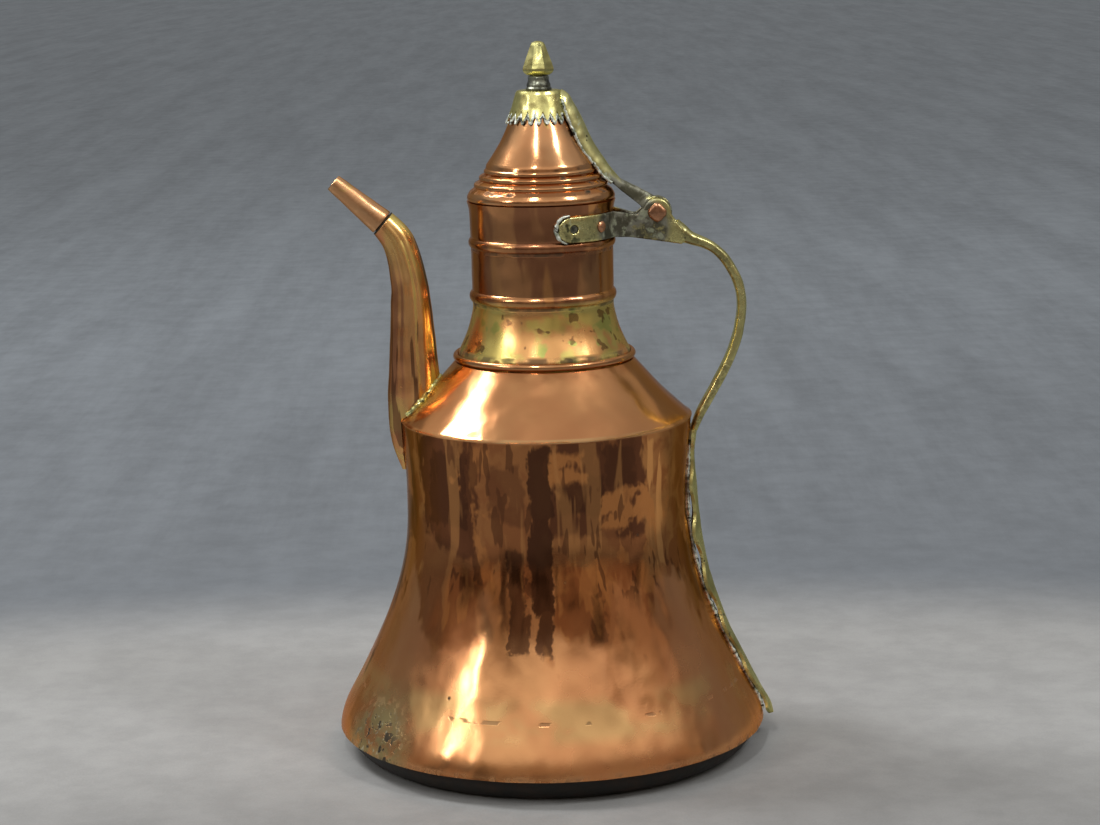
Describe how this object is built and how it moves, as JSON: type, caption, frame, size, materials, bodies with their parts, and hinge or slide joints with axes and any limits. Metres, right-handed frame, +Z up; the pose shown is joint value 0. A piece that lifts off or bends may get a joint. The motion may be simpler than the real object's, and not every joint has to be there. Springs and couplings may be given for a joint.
{
  "type": "ewer",
  "caption": "Tall bell-bodied copper ewer with a slender upright spout, a hinged conical lid with toothed cap and bud finial, and a riveted brass handle.",
  "frame": {"origin": "centre of the flat base on the surface the pot stands on, on the turning axis of body and neck", "axes": "+Z up along the turning axis, -X towards the spout, +X towards the handle, -Y towards the viewer of the side view"},
  "size_m": [0.2249, 0.2192, 0.36],
  "materials": {
    "hammered_copper": "polished hammered copper, lightly patinated",
    "dark_copper": "browned copper",
    "aged_brass": "aged olive-yellow brass",
    "tarnished_metal": "dark tarnished metal",
    "sooted_copper": "soot-blackened copper"
  },
  "bodies": {
    "vessel": {"base_pan": "sooted_copper", "body_wall": "hammered_copper", "shoulder": "hammered_copper", "neck": "dark_copper", "neck_foot_ring": "hammered_copper", "spout_tube": "hammered_copper", "spout_tip_sleeve": "dark_copper", "hinge_pin": "hammered_copper", "handle_bow": "aged_brass", "handle_tail": "aged_brass", "neck_rivet_near_back": "hammered_copper", "neck_rivet_near_front": "tarnished_metal", "neck_rivet_far_back": "hammered_copper", "neck_rivet_far_front": "hammered_copper"},
    "lid": {"lid_shell": "hammered_copper", "lid_inner_collar": "dark_copper", "lid_crown": "aged_brass", "lid_strap": "aged_brass", "finial": "aged_brass", "finial_collar": "tarnished_metal", "finial_washer": "aged_brass"}
  },
  "joints": [
    {"name": "lid_hinge", "type": "hinge", "parent": "vessel", "child": "lid", "pos_m": [0.0578, 0, 0.2742], "axis": [0, 1, 0], "range_deg": [0, 110]}
  ]
}
